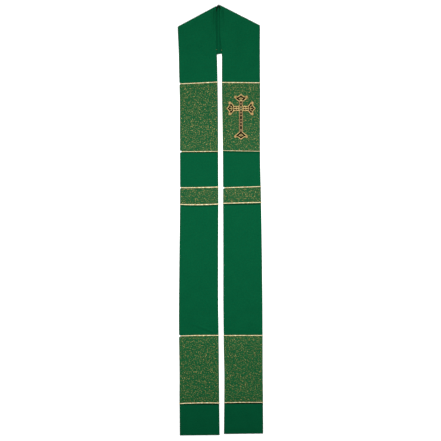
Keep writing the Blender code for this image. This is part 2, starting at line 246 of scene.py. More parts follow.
fleck = {
    # noise scales, then how far the rows waver, in metres, and the floats drift, in cells
    "waverScale": 70.0, "driftScale": 120.0, "crowdScale": 45.0, "patchScale": 60.0, "unevenScale": 330.0,
    "waver": 0.0014,
    "drift": 1.2,
    "crowd": 0.3,                # how much the cover varies from place to place
    "alone": 0.30,               # share of the floats that show in one row of two
    "aside": (0.22, 0.20),       # how far a pair, and then each row of it, stands aside in its cell
    "half": (0.17, 0.18, 0.12),  # shortest half length in cells, and what a pair and a row add to it
    "tall": 0.48,
    "edge": (0.70, 1.0),
    "bright": (0.86, 0.90),
    "shine": (0.25, 0.20),
    "warm": (0.50, 0.90),
    "patches": (0.35, 0.65),
    "patchSwirl": 0.4,
    "threads": 5.0,              # threads of weft in a cell, between the floats
    "dips": (0.34, 0.60),
    "seeds": (3.0, 11.0, 23.0),  # for each pair of rows, for its looks, and for each row of it
}


def buildFleckGroup():
    # gold weft that comes up in short floats, alone or two rows together, and shows faintly in between
    nodes, given, end = newGroup(
        "brocade flecks", ("Row", "Cell", "Cover"),
        ("Floats", "Crown", "Shine", "Warmth", "Patches", "Weft", "Uneven"))
    place = given["Vector"]

    def drawnFrom(*seeds):
        spot = nodes.add("CombineXYZ", seeds)[0]
        drawn = nodes.named("TexWhiteNoise", {"Vector": spot}, noise_dimensions="3D")
        return nodes.add("SeparateColor", (drawn["Color"],))

    x, y = nodes.add("SeparateXYZ", (place,))[:2]
    waver = nodes.speckle(place, fleck["waverScale"], 1.0) - 0.5
    count = (waver * fleck["waver"] + y) / given["Row"]
    row = math.floor(count)
    pair = math.floor(row * 0.5)
    upper = (row * 0.5 - pair).put("GREATER_THAN", 0.25)
    inCells = x / given["Cell"]
    drift = (nodes.speckle(place, fleck["driftScale"], 1.0) - 0.5) * fleck["drift"]
    along = pair % 2.0 * 0.5 + (inCells + drift)
    cell = math.floor(along)
    pairSeed, lookSeed, rowSeed = fleck["seeds"]
    drawn = drawnFrom(cell, pair, pairSeed)
    above = drawnFrom(cell, pair + 1.0, pairSeed)
    looks = drawnFrom(pair, cell, lookSeed)
    own = drawnFrom(row, cell, rowSeed)
    crowd = nodes.speckle(place, fleck["crowdScale"], 2.0) - 0.5
    cover = given["Cover"] * (crowd * fleck["crowd"] + 1.0)
    alone = upper * own[0].put("LESS_THAN", fleck["alone"])
    chosen = drawn[0].put("LESS_THAN", cover) * above[0].put("GREATER_THAN", cover) * (1.0 - alone)
    aside = (own[1] - 0.5) * fleck["aside"][1] + ((drawn[1] - 0.5) * fleck["aside"][0] + 0.5)
    shortest, byPair, byRow = fleck["half"]
    half = drawn[2] * byPair + (own[2] * byRow + shortest)
    inAlong = (along - cell - aside) / half
    inRow = (count - row - 0.5) / fleck["tall"]
    bulge = abs(inAlong) ** 3.0 + inRow * inRow
    shine = looks[0] * fleck["shine"][0] + own[1] * fleck["shine"][1]
    between = (inCells * fleck["threads"] * math.pi).put("SINE")
    uneven = nodes.speckle(place, fleck["unevenScale"], 0.0)
    shown = between * between * (1.0 - inRow * inRow) * nodes.window(uneven, *fleck["dips"])
    patches = nodes.speckle(place, fleck["patchScale"], 3.0, fleck["patchSwirl"])
    nodes.fill(end, {
        "Floats": (1.0 - nodes.window(bulge, *fleck["edge"])) * chosen,
        "Crown": (1.0 - bulge.put("MINIMUM", 1.0)) * chosen,
        "Shine": shine + nodes.window(looks[1], *fleck["bright"]),
        "Warmth": nodes.window(looks[2], *fleck["warm"]),
        "Patches": nodes.window(patches, *fleck["patches"]),
        "Weft": shown.put("MAXIMUM", 0.0),
        "Uneven": uneven,
    })
    return nodes.tree


# each group is built once and placed in the materials
groups = {
    "weave": buildWeaveGroup(),
    "mottle": buildMottleGroup(),
    "threads": buildThreadGroup(),
    "flecks": buildFleckGroup(),
}
print("stole: node groups are ready")


# each material gives its own values, and those in which it differs from anyCloth and the like
cloths = {
    "plain cloth": {
        "colour": (0.0006, 0.053, 0.0201), "pitch": 0.42, "slub": 0.12, "mottle": 0.3, "roughness": 0.62,
        "sheen": 0.1,
    },
    # painted shade: the end cloth is darker than the plain cloth, for the light falling off towards the hem
    "end cloth": {"colour": (0.0004, 0.043, 0.0166), "pitch": 0.38, "roughness": 0.58, "relief": 0.25},
    # painted shade: the reverse is the face's green, darker for where it shows in the narrow gap between
    # the panels
    "reverse cloth": {
        "colour": (0.0004, 0.038, 0.0146), "pitch": 0.5, "roughness": 0.55, "specular": 0.12,
    },
    "black tape": {
        "colour": (0.0016, 0.0026, 0.002), "pitch": 0.6, "slub": 0.2, "mottle": 0.2, "roughness": 0.7,
        "specular": 0.08, "sheen": 0.05, "relief": 0.5,
    },
    "dark ground": {
        "colour": (0.0012, 0.005, 0.003), "pitch": 0.5, "slub": 0.25, "mottle": 0.3, "roughness": 0.85,
        "specular": 0.02, "sheen": 0.01, "relief": 0.6,
    },
}
anyCloth = {
    "slub": 0.1, "mottle": 0.24, "specular": 0.1, "sheen": 0.08, "relief": 0.3,
    "tint": (0.03, 1.0, 0.45),
    "broadScale": 26.0, "fineScale": 210.0, "napScale": 230.0,
    "fineMore": 1.8,                 # the fine mottle against the broad one
    "napLean": (3.6, 1.0, 0.97),     # how the colour leans where the nap stands up
    "roughnessSpread": 0.10,
    "sheenRoughness": 0.4,
    "depth": 0.35,                   # of the weave, as a share of its pitch
}
brocades = {
    "upper brocade": {"ground": (0.0045, 0.0560, 0.0172), "deep": (0.0025, 0.0510, 0.0156), "cover": 0.49},
    "middle brocade": {"ground": (0.0043, 0.0532, 0.0163), "deep": (0.0024, 0.0484, 0.0148), "cover": 0.42},
    "lower brocade": {"ground": (0.0035, 0.0610, 0.0184), "deep": (0.0020, 0.0545, 0.0164), "cover": 0.48},
}
anyBrocade = {
    "gold": (0.0860, 0.0960, 0.0270),
    "tan": (0.1250, 0.0840, 0.0240),
    "bright": (0.3800, 0.2750, 0.0980),
    "row": 1.15,                     # from one row of weft to the next
    "cell": 3.1,                     # the length kept for each float
    "slub": 0.30,
    "weft": 0.23,                    # how much of the gold weft shows between the floats
    "dip": 1.3,                      # painted shade: how much the ground darkens where the weave dips
    # the darkest the painted dip shade gets
    "darkest": 0.4,
    "crown": (0.75, 0.35),           # painted shading: a float's brightness at its edge, and the painted light its crown adds
    "metallic": 0.35,
    "roughness": 0.50,
    "smoother": -0.12,
    "specular": 0.12,
    "tint": (0.30, 1.0, 0.50),
    "weaveHeight": 0.3,              # against the floats
    "depth": 0.25,
    "relief": 0.5,
}
threads = {
    "braid gold": {
        "pale": (0.96, 0.84, 0.55), "deep": (0.64, 0.45, 0.21), "pitch": 0.3, "slant": 0.9, "patch": 90,
    },
    "stitch gold": {
        "pale": (0.64, 0.46, 0.172), "deep": (0.35, 0.235, 0.082), "slant": 0.25, "patch": 120,
        "roughness": 0.4,
    },
    # painted shade: the gold thread of the stem, darker and browner for stitches that catch less light
    "stitch gold in painted shade": {
        "pale": (0.235, 0.148, 0.053), "deep": (0.122, 0.07, 0.025), "slant": 0.25, "patch": 170,
    },
    "stitch straw": {"pale": (0.34, 0.28, 0.095), "deep": (0.2, 0.15, 0.05), "slant": 0.6, "patch": 140},
    "stitch leaf": {"pale": (0.52, 0.41, 0.15), "deep": (0.31, 0.225, 0.078), "slant": 0.45, "patch": 150},
    "stitch rose": {"pale": (0.38, 0.235, 0.07), "deep": (0.27, 0.158, 0.046), "slant": -0.2, "patch": 110},
    # painted shadow: the dark thread laid along the braids' shade
    "braid shadow dark": {
        "pale": (0.0012, 0.012, 0.005), "deep": (0.0006, 0.006, 0.0026), "pitch": 0.34, "slant": 0.8,
        "patch": 150, "roughness": 0.8, "metallic": 0, "specular": 0.04,
    },
    "stitch green": {
        "pale": (0.01, 0.062, 0.022), "deep": (0.004, 0.034, 0.012), "pitch": 0.34, "slant": 0,
        "patch": 150, "roughness": 0.45, "metallic": 0.1,
    },
}
anyThread = {
    "pitch": 0.38, "roughness": 0.42, "metallic": 0.35, "specular": 0.5, "depth": 0.5, "relief": 0.6,
    "uneven": 0.3, "mottle": 0.2, "wear": 0.7, "wearScale": 0.2, "roughnessSpread": -0.1,
}


def paintCloth(nodes, place, look):
    pitch = look["pitch"] * mm
    weave = nodes.group("weave", Vector=place, Pitch=pitch, Slub=look["slub"])
    broad = nodes.group("mottle", Vector=place, Scale=look["broadScale"], Amount=look["mottle"])
    fine = nodes.group("mottle", Vector=place, Scale=look["fineScale"],
                       Amount=look["mottle"] * look["fineMore"])
    nap = nodes.group("mottle", Vector=place, Scale=look["napScale"], Amount=0.0)
    raised = [part * lean for part, lean in zip(look["colour"], look["napLean"])]
    colour = nodes.blend(nap["Mask"], look["colour"], raised)
    return {
        "Base Color": nodes.shaded(colour, weave["Shade"] * broad["Shade"] * fine["Shade"]),
        "Roughness": (broad["Mask"] - 0.5) * look["roughnessSpread"] + look["roughness"],
        "Specular IOR Level": look["specular"],
        "Specular Tint": look["tint"],
        "Sheen Weight": look["sheen"],
        "Sheen Roughness": look["sheenRoughness"],
        "Sheen Tint": look["tint"],
        "Normal": nodes.relief(weave["Height"], pitch * look["depth"], look["relief"]),
    }


def paintBrocade(nodes, place, look):
    row = look["row"] * mm
    weave = nodes.group("weave", Vector=place, Pitch=row / 2, Slub=look["slub"])
    flecks = nodes.group("flecks", Vector=place, Row=row, Cell=look["cell"] * mm, Cover=look["cover"])
    ground = nodes.blend(flecks["Patches"], look["deep"], look["ground"])
    ground = nodes.blend(flecks["Weft"] * look["weft"], ground, look["gold"])
    # painted shade in the weave's dips, from the same unevenness that hides the gold weft
    dip = (flecks["Uneven"] - 0.5) * look["dip"] + 1.0
    ground = nodes.shaded(nodes.shaded(ground, weave["Shade"]), dip.put("MAXIMUM", look["darkest"]))
    yarn = nodes.blend(flecks["Warmth"], look["gold"], look["tan"])
    yarn = nodes.blend(flecks["Shine"], yarn, look["bright"])
    # painted light: each float lighter on its crown than at its edge
    yarn = nodes.shaded(yarn, flecks["Crown"] * look["crown"][1] + look["crown"][0])
    height = weave["Height"] * look["weaveHeight"] + flecks["Crown"]
    return {
        "Base Color": nodes.blend(flecks["Floats"], ground, yarn),
        "Metallic": flecks["Floats"] * look["metallic"],
        "Roughness": flecks["Floats"] * look["smoother"] + look["roughness"],
        "Specular IOR Level": look["specular"],
        "Specular Tint": look["tint"],
        "Normal": nodes.relief(height, look["depth"] * mm, look["relief"]),
    }


def paintThread(nodes, place, look):
    pitch = look["pitch"] * mm
    lay = nodes.group("threads", Vector=place, Pitch=pitch, Slant=look["slant"], Uneven=look["uneven"])
    patches = nodes.group("mottle", Vector=place, Scale=look["patch"], Amount=look["mottle"])
    # brighter and darker stretches along the thread: partly wear and tarnish, partly painted sheen
    wornAndSheen = nodes.group("mottle", Vector=place, Scale=look["patch"] * look["wearScale"], Amount=look["wear"])
    colour = nodes.blend(patches["Mask"], look["deep"], look["pale"])
    return {
        "Base Color": nodes.shaded(colour, lay["Shade"] * wornAndSheen["Shade"]),
        "Roughness": (patches["Mask"] - 0.5) * look["roughnessSpread"] + look["roughness"],
        "Metallic": look["metallic"],
        "Specular IOR Level": look["specular"],
        "Normal": nodes.relief(lay["Height"], pitch * look["depth"], look["relief"]),
    }


def paintFloor(nodes, place, look):
    mottle = nodes.group("mottle", Vector=place, Scale=look["floorScale"], Amount=look["floorMottle"])
    return {
        "Base Color": nodes.shaded(look["floorColour"], mottle["Shade"]),
        "Roughness": look["floorRoughness"],
        "Specular IOR Level": 0.0,
    }


materials = {}
for paint, shared, looks in (
    (paintCloth, anyCloth, cloths), (paintBrocade, anyBrocade, brocades),
    (paintThread, anyThread, threads), (paintFloor, studio, {"studio floor": {}}),
):
    for materialName, own in looks.items():
        made = bpy.data.materials.new(materialName)
        made.use_nodes = True
        nodes = Nodes(made.node_tree)
        if paint == paintFloor:
            place = nodes.named("TexCoord")["Object"]
        else:
            place = nodes.add("UVMap", uv_map="cloth")[0]
        nodes.fill(made.node_tree.nodes["Principled BSDF"], paint(nodes, place, {**shared, **own}))
        materials[materialName] = made
print("stole: materials are ready")


def addFloor():
    shape = bmesh.new()
    bmesh.ops.create_grid(shape, x_segments=4, y_segments=4, size=studio["floorSize"] / 2)
    bmesh.ops.translate(shape, verts=shape.verts, vec=(0.0, 0.0, -studio["floorDrop"] * mm))
    mesh = bpy.data.meshes.new("floor")
    shape.to_mesh(mesh)
    shape.free()
    mesh.materials.append(materials["studio floor"])
    placed("floor", mesh)


# the strips: their edges, shoulder rolls and wings, in millimetres
cloth = {
    "wall": 1.6,
    "gap": 0.3,
    "rounding": 0.6,         # of the turned edges
    "rollRadius": 2.4,       # the middle of the wall where a strip rolls over at the shoulder
    "seamX": -6.3,
    "seamTop": {"left": 695.7, "right": 697.1},
    "seamBottom": 538.8,
    "neckLevel": 515.0,
    "wingKnee": 0.92,
    "settleFrom": 2.0,       # past the wing's lower edge, the panel sinks to the surface
    "settleOver": 24.0,
    "rollEasesOver": 60.0,
    "fullEdge": 0.5,         # the turned edges stand this little bit fuller than the lines below
    "columns": 72, "wingRows": 30, "rollRows": 14, "neckRows": 40,
    "rowPitch": 4.2, "bandRowPitch": 3.36, "fewestRows": 8,
    "rowCrowding": 0.72,     # rows stand closer by the braids, where the cloth is drawn in
}
# distance up the stole, outer edge, inner edge
edgeRows = {
    "left": (
        (700, -138.5, -14.6), (629, -138.5, -14.6), (560, -136, -14.4), (530, -135, -11.9),
        (473, -134, -10.3), (395, -131.8, -9), (278, -131.4, -8.2), (44, -131.3, -7.4),
        (-112, -133.1, -8), (-268, -134.6, -8), (-350, -134.7, -6.8), (-500, -132.6, -5.4),
        (-580, -132.8, -4.6), (-700, -131.9, -3.2),
    ),
    "right": (
        (700, 127.7, -1.6), (617, 127.7, -1.6), (580, 127.6, 1.4), (545, 127.6, 4.9),
        (473, 128.1, 4.8), (395, 128.3, 5.4), (278, 128, 7.4), (200, 128.4, 8.3),
        (44, 131.9, 8.9), (-112, 134.3, 9.4), (-268, 136, 9.5), (-420, 136.6, 11.2),
        (-500, 136.8, 12.8), (-580, 137.6, 12.6), (-700, 138.4, 11.4),
    ),
}
# each line is given as its height at the outer and at the inner edge
rollLines = {"left": (629, 695.1), "right": (632.9, 698.6)}
hemLines = {"left": (-700.2, -699.0, 0.0), "right": (-694.0, -695.5, 0.0)}
wingKnees = {"left": (-13.0, 538.2), "right": (5.0, 541.0)}
# the third number is how far the line bows up in its middle
braidLines = {
    "left": (
        (442.8, 448.7, -0.4), (222.6, 223.5, -0.2), (105.1, 107.5, -0.7),
        (50.9, 52.2, -1.6), (-376.5, -374.9, 0.6), (-596.3, -594.5, 1.2),
    ),
    "right": (
        (446.1, 447.1, 0), (223.7, 226.1, -0.2), (108.8, 104.8, 0.1),
        (57.3, 54.6, -0.1), (-375.2, -375.1, 0), (-592.4, -593.4, 0.6),
    ),
}
# how far each braid draws in the cloth's outer edge, and then its inner edge
drawnIn = {
    "left": ((5, 8, 4.6, 1.2, 8.5, 0.8), (0.4, 0.5, 0.6, 0.4, 0.4, 0.3)),
    "right": ((0.5, 0.7, 0.4, 0.3, 0.6, 0.5), (1.4, 0.8, 6.5, 0.8, 0.9, 0.8)),
    "reach": 2.1,
}
relief = {
    "pillow": 0.55,          # between the stitched lines the layers stand a little fuller
    "pillowOver": 13.0,
    "edgeOver": 9.0,
    "freeOver": 9.0,         # below the roll, before any relief shows
    "swell": 0.45,
    "swellScale": 95.0,
    "ripple": 0.10,
    "rippleScale": 21.0,
    "wingRipple": 0.18,
    "wingScale": 17.0,
    "wingCalm": (0.1, 0.15),     # shares of the wing by the seam and by the roll that stay flat
    "creaseFade": 0.3,       # a crease fades in and out over this share of its length
    "creasePast": 0.12,
    "creaseReach": 3.0,
    "creaseWander": 0.3,
    "wanderScale": 13.0,
    "slice": {"left": 7.0, "right": 31.0, "wing": 3.0},     # where each side is cut from the noise
}
# start x, start y, end x, end y, half width, height (a trough is below zero)
creases = {
    "left": (
        (-19.8, 703, -20.6, 612, 2.1, -5.2),
        (-26, 702, -26.8, 592, 2.8, 1.7),
        (-15.8, 702, -16.4, 596, 2, 1.6),
        (-106, 583, -57, 543, 7, -0.45),
        (-99, -333, -21, -365, 3.6, 0.85),
        (-92, -343, -30, -371, 3, -0.35),
        (-118, 205, -40, 187, 6, 0.18),
        (-60, -18, -12, 22, 7, 0.22),
        (-125, -620, -70, -660, 8, 0.2),
    ),
    "right": (
        (7.3, 705, 5.4, 648, 2, -4.4),
        (13, 700, 12.2, 636, 2.6, 1.8),
        (1.6, 700, 1, 652, 2, 0.9),
        (99, 627, 34, 552, 6, 0.5),
        (28, -352, 88, -364, 4, 0.3),
        (20, 190, 70, 160, 7, 0.2),
        (60, -120, 128, -150, 8, 0.22),
        (40, -625, 110, -668, 8, 0.2),
    ),
}


def ease(share):
    share = min(max(share, 0.0), 1.0)
    return share * share * (3.0 - 2.0 * share)


def through(rows, column, y):
    # a smooth curve through a table's rows
    last = len(rows) - 2
    k = next((i for i in range(last + 1) if y >= rows[i + 1][0]), last)
    slopes = []
    for i in (k, k + 1):
        low = rows[max(i - 1, 0)]
        high = rows[min(i + 1, last + 1)]
        slopes.append((high[column] - low[column]) / (high[0] - low[0]))
    start = rows[k]
    end = rows[k + 1]
    span = end[0] - start[0]
    t = (y - start[0]) / span
    return (start[column] * (1 + 2 * t) * (1 - t) ** 2 + end[column] * t * t * (3 - 2 * t)
            + slopes[0] * span * t * (1 - t) ** 2 - slopes[1] * span * t * t * (1 - t))


def besideLine(point, start, end):
    # distance from a stretch of line, and how far along it, from 0 to 1
    run = end - start
    share = (point - start).dot(run) / run.length_squared
    nearest = start + run * min(max(share, 0.0), 1.0)
    return (point - nearest).length, share


def bowAt(line, share):
    return 4 * line[2] * share * (1.0 - share)


def lineHeight(line, share):
    return line[0] + (line[1] - line[0]) * share + bowAt(line, share)


class Strip:
    # one side of the stole
    def __init__(self, side):
        self.side = side
        self.rows = edgeRows[side]
        outer = Vector((self.rows[0][1], rollLines[side][0]))
        inner = Vector((self.rows[0][2], rollLines[side][1]))
        self.along = (inner - outer).normalized()
        self.up = Vector((-self.along.y, self.along.x))
        if self.up.y < 0:
            self.up.negate()
        self.reach = cloth["rollRadius"] + cloth["wall"] / 2
        drop = Vector((0.0, self.reach / self.up.y))
        self.axis = (outer - drop, inner - drop)
        self.slide = math.pi * cloth["rollRadius"] * abs(self.along.y / self.along.x)
        self.wingStart = tuple(point + self.along * self.slide for point in self.axis)
        self.knee = Vector(wingKnees[side])
        self.seamX = cloth["seamX"] + cloth["gap"] / 2 * (1 if side == "right" else -1)
        self.creases = [(Vector(row[0:2]), Vector(row[2:4]), row[4], row[5]) for row in creases[side]]
        self.stitched = braidLines[side] + (hemLines[side],)

    def fromOuter(self, share):
        return share if self.side == "left" else 1.0 - share

    def edgePoint(self, edge, y):
        # edge 0 is the outer one, edge 1 the inner one
        x = through(self.rows, edge + 1, y)
        inward = 1.0 if (self.side == "left") == (edge == 0) else -1.0
        x -= inward * cloth["fullEdge"]
        for line, drawn in zip(braidLines[self.side], drawnIn[self.side][edge]):
            x += inward * drawn * math.exp(-((y - line[edge]) / drawnIn["reach"]) ** 2)
        return Vector((x, y))

    def lineEnds(self, line):
        return [self.edgePoint(edge, line[edge]) for edge in (0, 1)]

    def wingEdge(self, share):
        knee = cloth["wingKnee"]
        if share <= knee:
            return self.wingStart[0].lerp(self.knee, share / knee)
        return self.knee.lerp(Vector((self.seamX, cloth["seamBottom"])), (share - knee) / (1.0 - knee))

    def belowWing(self, point):
        start = self.wingStart[0]
        run = (self.knee - start).normalized()
        across = Vector((-run.y, run.x))
        if across.y > 0:
            across.negate()
        return (point - start).dot(across)

    def fullness(self, point):
        # from 1 at the shoulder roll to 0 where the panel lies flat
        return 1.0 - ease((self.axis[0] - point).dot(self.up) / cloth["rollEasesOver"])

    def faceHeight(self, point):
        onWing = 1.0 - ease((self.belowWing(point) - cloth["settleFrom"]) / cloth["settleOver"])
        lift = cloth["wall"] + cloth["gap"]
        return cloth["wall"] + lift * onWing + (2 * cloth["rollRadius"] - lift) * self.fullness(point)

    def reliefAt(self, point):
        outer = through(self.rows, 1, point.y)
        inner = through(self.rows, 2, point.y)
        share = (point.x - outer) / (inner - outer)
        fromEdge = min(abs(point.x - outer), abs(point.x - inner))
        fromLine = min(abs(point.y - lineHeight(line, share)) for line in self.stitched)
        calm = 1.0 - math.exp(-(fromLine / relief["pillowOver"]) ** 2)
        soft = 1.0 - math.exp(-(fromEdge / relief["edgeOver"]) ** 2)
        spot = Vector((point.x, point.y, relief["slice"][self.side]))
        swell = 0.5 + 0.5 * noise.noise(spot / relief["swellScale"])
        ripple = noise.noise(spot / relief["rippleScale"])
        height = relief["pillow"] * calm * soft + relief["swell"] * swell * calm
        height += relief["ripple"] * (1.0 + ripple) * calm
        wander = 1.0 + relief["creaseWander"] * noise.noise(spot / relief["wanderScale"])
        for start, end, width, tall in self.creases:
            away, share = besideLine(point, start, end)
            if away < width * relief["creaseReach"]:
                fade = ease((share + relief["creasePast"]) / relief["creaseFade"])
                fade *= ease((1.0 + relief["creasePast"] - share) / relief["creaseFade"])
                height += tall * fade * wander * math.exp(-(away / width) ** 2)
        if height < 0.0:
            # a trough eases out above the wing instead of cutting into it
            room = (2 * cloth["rollRadius"] - cloth["wall"] - cloth["gap"]) * self.fullness(point)
            height = -room * math.tanh(-height / max(room, 0.01))
        return height * ease((self.axis[0] - point).dot(self.up) / relief["freeOver"])

    def surface(self, point, raised=0.0):
        return Vector((point.x, point.y, self.faceHeight(point) + self.reliefAt(point) + raised))

    def unrolled(self, point):
        # where a point of the wing lies once the strip is opened out flat
        off = point - self.axis[0]
        beyond = math.pi * cloth["rollRadius"] - off.dot(self.up)
        return self.axis[0] + self.along * off.dot(self.along) + self.up * beyond


strips = {side: Strip(side) for side in sides}


def crowded(count):
    # shares from 0 to 1 that stand closer at both ends
    pull = cloth["rowCrowding"]
    for step in range(count + 1):
        s = step / count
        yield s - pull * math.sin(2 * math.pi * s) / (2 * math.pi)


def keepPiece(name, shape, finishes, nodes, smoothAngle=None):
    # links a finished bmesh as a piece, with its ride, its slot and the CAD nodes that it replaces
    mesh = bpy.data.meshes.new(name)
    bmesh.ops.scale(shape, verts=shape.verts, vec=(mm, mm, mm))
    shape.to_mesh(mesh)
    shape.free()
    for finish in finishes:
        mesh.materials.append(materials[finish])
    mesh.shade_smooth()
    if smoothAngle:
        mesh.set_sharp_from_angle(angle=math.radians(smoothAngle))
    piece = placed(name, mesh)
    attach(piece, "root")
    if nodes:
        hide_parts(*nodes)
    return piece


def layUv(faces, layer, flat):
    for face in faces:
        for corner in face.loops:
            corner[layer].uv = flat[corner.vert]


def layGrid(shape, layer, columns, rows, place):
    # a grid laid row by row: place(row, share) gives the point and where it lies on the flat cut
    last = len(rows) - 1
    verts = bmesh.ops.create_grid(shape, x_segments=columns, y_segments=last, size=0.5)["verts"]
    flat = {}
    for vert in verts:
        row = rows[round((0.5 - vert.co.y) * last)]
        vert.co, cut = place(row, vert.co.x + 0.5)
        flat[vert] = cut * mm
    faces = {face for vert in verts for face in vert.link_faces}
    layUv(faces, layer, flat)
    return verts, faces


def addSheet(name, rows, place, finishes, nodes, wall, rounding):
    # a grid of cloth, given its wall
    shape = bmesh.new()
    layGrid(shape, shape.loops.layers.uv.new("cloth"), cloth["columns"], rows, place)
    return giveWall(keepPiece(name, shape, finishes, nodes), wall, rounding)


turnedEdge = {"segments": 3, "angle": 55.0}


def giveWall(piece, wall, rounding):
    # thickness inwards from the face, with the turned edges rounded
    thicken = piece.modifiers.new("wall", "SOLIDIFY")
    thicken.thickness = wall * mm
    thicken.offset = -1.0
    thicken.material_offset = len(piece.data.materials) - 1
    soften = piece.modifiers.new("turned edge", "BEVEL")
    soften.width = rounding * mm
    soften.segments = turnedEdge["segments"]
    soften.limit_method = "ANGLE"
    soften.angle_limit = math.radians(turnedEdge["angle"])
    return piece


def shifted(line, distance):
    return (line[0] + distance, line[1] + distance, line[2])


def spanPoint(strip, ends, top, bottom, amount, share):
    # a point between two edge points, bowed as the lines above and below it are
    share = strip.fromOuter(share)
    point = ends[0].lerp(ends[1], share)
    point.y += bowAt(top, share) * (1 - amount) + bowAt(bottom, share) * amount
    return point


def wingPoint(strip, point, amount):
    # the wing lies on the floor, with a slight ripple away from its ends
    spot = Vector((point.x, point.y, relief["slice"]["wing"])) / relief["wingScale"]
    lift = relief["wingRipple"] * (0.5 + 0.5 * noise.noise(spot))
    lift *= ease((1.0 - amount) / relief["wingCalm"][0]) * ease(amount / relief["wingCalm"][1])
    return Vector((point.x, point.y, lift)), strip.unrolled(point)


def rollPoint(strip, amount, share):
    # round the shoulder roll, from the panel to the wing
    axis = strip.axis[0].lerp(strip.axis[1], strip.fromOuter(share))
    angle = math.pi * amount
    point = axis + strip.along * (strip.slide * amount)
    cut = point + strip.up * (math.pi * cloth["rollRadius"] * amount)
    point = point + strip.up * (strip.reach * math.sin(angle))
    return Vector((point.x, point.y, strip.reach * (1.0 + math.cos(angle)))), cut


def addStrip(strip):
    # one length of cloth from the centre-back seam, over the shoulder roll, to the lowest braid
    level = (cloth["neckLevel"], cloth["neckLevel"], 0.0)
    lines = braidLines[strip.side]
    stops = [(strip.axis[0].y, strip.axis[1].y, 0.0), level, *lines[:-1],
             shifted(lines[-1], cloth["gap"] / 2)]
    spans = {"wing": (level, level), **dict(enumerate(zip(stops, stops[1:])))}
    rows = [("wing", 1.0 - share) for share in crowded(cloth["wingRows"])][:-1]
    rows += [("roll", 1.0 - step / cloth["rollRows"]) for step in range(cloth["rollRows"])]
    rows += [(0, step / cloth["neckRows"]) for step in range(cloth["neckRows"] + 1)]
    for number in range(1, len(stops) - 1):
        length = stops[number][0] - stops[number + 1][0]
        count = max(cloth["fewestRows"], round(length / cloth["rowPitch"]))
        rows += [(number, share) for share in crowded(count)][1:]
    wingTop = Vector((strip.seamX, cloth["seamTop"][strip.side]))

    def edgeOf(edge, kind, amount):
        if kind == "wing":
            return strip.wingStart[1].lerp(wingTop, amount) if edge else strip.wingEdge(amount)
        start, stop = [line[edge] for line in spans[kind]]
        return strip.edgePoint(edge, start + (stop - start) * amount)

    ends = {row: (edgeOf(0, *row), edgeOf(1, *row)) for row in rows if row[0] != "roll"}

    def place(row, share):
        kind, amount = row
        if kind == "roll":
            return rollPoint(strip, amount, share)
        point = spanPoint(strip, ends[row], *spans[kind], amount, share)
        if kind == "wing":
            return wingPoint(strip, point, amount)
        return strip.surface(point), point

    return addSheet(f"strip_{strip.side}", rows, place, ("plain cloth", "reverse cloth"),
                    (f"neck_{strip.side}", f"panel_{strip.side}"), cloth["wall"], cloth["rounding"])


def addFlatPiece(name, node, strip, top, bottom, raised, wall, rounding, finishes):
    # a piece with the panel's own edges, from one line to another, laid over its face
    rows = list(crowded(max(cloth["fewestRows"], round((top[0] - bottom[0]) / cloth["bandRowPitch"]))))
    ends = {}
    for row in rows:
        heights = [top[edge] + (bottom[edge] - top[edge]) * row for edge in (0, 1)]
        ends[row] = [strip.edgePoint(edge, y) for edge, y in enumerate(heights)]

    def place(row, share):
        point = spanPoint(strip, ends[row], top, bottom, row, share)
        return strip.surface(point, raised), point

    return addSheet(name, rows, place, finishes, (node,), wall, rounding)


def addEnd(strip):
    top = shifted(braidLines[strip.side][-1], -cloth["gap"] / 2)
    return addFlatPiece(f"hem_cloth_{strip.side}", f"end_{strip.side}", strip, top, hemLines[strip.side],
                        0.0, cloth["wall"], cloth["rounding"],
                        ("end cloth", "reverse cloth"))


bands = {
    "wall": 0.8,
    "rounding": 0.3,
    # the braids above and below each band, and its material
    "places": {
        "upper": (0, 1, "upper brocade"),
        "middle": (2, 3, "middle brocade"),
        "lower": (4, 5, "lower brocade"),
    },
}


def addBand(strip, bandName):
    above, below, finish = bands["places"][bandName]
    beside = braid["width"] / 2 + cloth["gap"]
    lines = braidLines[strip.side]
    return addFlatPiece(f"brocade_{bandName}_{strip.side}", f"band_{bandName}_{strip.side}", strip,
                        shifted(lines[above], -beside), shifted(lines[below], beside),
                        cloth["gap"] + bands["wall"], bands["wall"], bands["rounding"],
                        (finish,))


upright = Vector((0.0, 0.0, 1.0))


def station(centre, side, wide, above, below=None, up=upright):
    # one place along a tube: its middle, the way across, half width, height above and below
    return centre, side, up, wide, above, above if below is None else below


sweeping = {"uvAround": 4.0, "weld": 0.0005}


def sweep(shape, layer, stations, around, closed=False):
    # a closed tube through its stations
    travelled = 0.0
    rows = []
    for before, here in zip(stations[:1] + stations, stations):
        travelled += (here[0] - before[0]).length
        rows.append((*here, travelled))

    def place(row, turn):
        centre, side, up, wide, above, below, along = row
        angle = 2 * math.pi * turn
        tall = above if math.sin(angle) > 0 else below
        point = centre + side * (wide * math.cos(angle)) + up * (tall * math.sin(angle))
        return point, Vector((turn * sweeping["uvAround"] * wide, along))

    verts, faces = layGrid(shape, layer, around, rows, place)
    bmesh.ops.remove_doubles(shape, verts=verts, dist=sweeping["weld"])
    if not closed:
        rims = {edge for face in faces if face.is_valid for edge in face.edges if edge.is_boundary}
        bmesh.ops.holes_fill(shape, edges=list(rims), sides=0)


def addTubes(name, tubes, finishes, nodes=(), choose=None):
    # a piece of tubes, each given as its stations, sides around, and whether it closes on itself
    shape = bmesh.new()
    layer = shape.loops.layers.uv.new("cloth")
    for tube in tubes:
        sweep(shape, layer, *tube)
    if choose:
        for face in shape.faces:
            face.material_index = choose(face.calc_center_median().xy)
    bmesh.ops.recalc_face_normals(shape, faces=shape.faces)
    keepPiece(name, shape, finishes, nodes)


